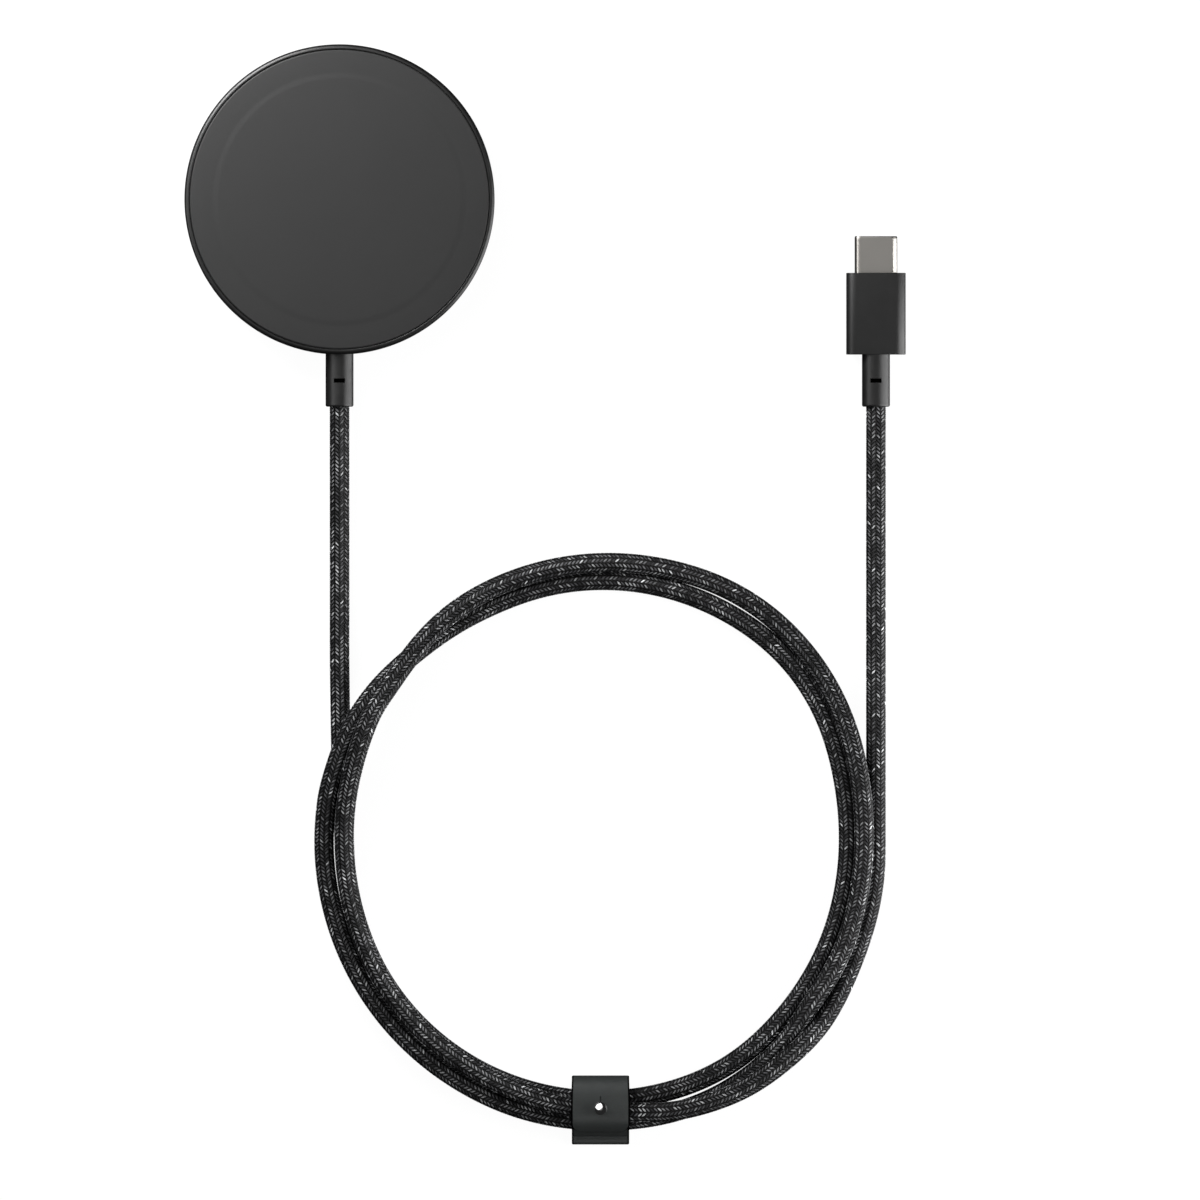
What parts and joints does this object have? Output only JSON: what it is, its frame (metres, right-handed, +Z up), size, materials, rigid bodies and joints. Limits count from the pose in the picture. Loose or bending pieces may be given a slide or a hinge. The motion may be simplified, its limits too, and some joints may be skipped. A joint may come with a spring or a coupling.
{
  "type": "charging cable",
  "caption": "Round magnetic wireless charging puck on a coiled braided cord, held by a leather tie with a ball stud, ending in a USB-C plug.",
  "frame": {"origin": "middle of the puck's foot pad, on the surface that the puck, the coil and the plug lie on", "axes": "+Z up out of the charging face; +Y along the plug towards its tip, so the cord leaves the puck towards -Y; +X to the right, from the puck towards the plug"},
  "size_m": [0.1395, 0.2129, 0.0128],
  "materials": {
    "face_skin": "soft matte silicone, dark grey",
    "grey_metal": "fine bead-blasted and anodised, dark grey",
    "hard_plastic": "moulded, matt",
    "foot_rubber": "matt, slightly tacky",
    "relief_rubber": "satin moulded",
    "braid": "braided yarn, black and dark grey with light flecks",
    "plug_plastic": "soft-touch, dark grey",
    "plug_steel": "nickel-plated sheet, satin",
    "leather": "smooth, dark green-grey, matt",
    "stud_chrome": "polished",
    "magnet": "nickel plated",
    "copper": "enamelled wire",
    "ferrite": "sintered, matt",
    "white_plastic": "natural moulded",
    "board": "solder mask",
    "component": "moulded epoxy",
    "thermal_pad": "soft, waxy",
    "wire": "wire jacket",
    "gold_contact": "gold plated"
  },
  "bodies": {
    "charger": {"housing": "grey_metal", "foot_pad": "foot_rubber", "thermal_pad": "thermal_pad", "board_components": "component", "circuit_board": "board", "coil_carrier": "white_plastic", "ferrite_plate": "ferrite", "transmit_coil": "copper", "coil_leads": "copper", "thermistor": "white_plastic", "shield_film": "ferrite", "magnet_yoke": "magnet", "magnet_ring": "magnet", "face_tape": "white_plastic", "face_plate": "hard_plastic", "face_skin": "face_skin", "cord_clamp": "magnet", "clamp_screws": "magnet", "puck_wires": "wire", "housing_relief": "relief_rubber", "cord_puck_end": "braid", "cord_lead_in": "braid", "cord_coil": "braid", "cord_lead_out": "braid", "plug_relief": "relief_rubber", "cord_plug_end": "braid", "plug_body": "plug_plastic", "plug_inner_mould": "white_plastic", "plug_shield_can": "magnet", "plug_crimp": "magnet", "plug_wires": "wire", "plug_board": "board", "plug_chip": "component", "plug_insulator": "component", "plug_contacts": "gold_contact", "plug_latches": "plug_steel", "plug_ground_springs": "plug_steel", "plug_shell": "plug_steel"},
    "tie": {"strap_band": "leather", "stud": "stud_chrome", "stud_screw": "stud_chrome"},
    "flap": {"strap_flap": "leather"}
  },
  "joints": [
    {"name": "tie_slide", "type": "hinge", "parent": "charger", "child": "tie", "pos_m": [0.0505, -0.1242, 0], "axis": [0, 0, 1], "range_deg": [-30, 30]},
    {"name": "flap_open", "type": "hinge", "parent": "tie", "child": "flap", "pos_m": [0.0505, -0.17067, 0.0092], "axis": [-1, 0, 0], "range_deg": [0, 130]}
  ]
}
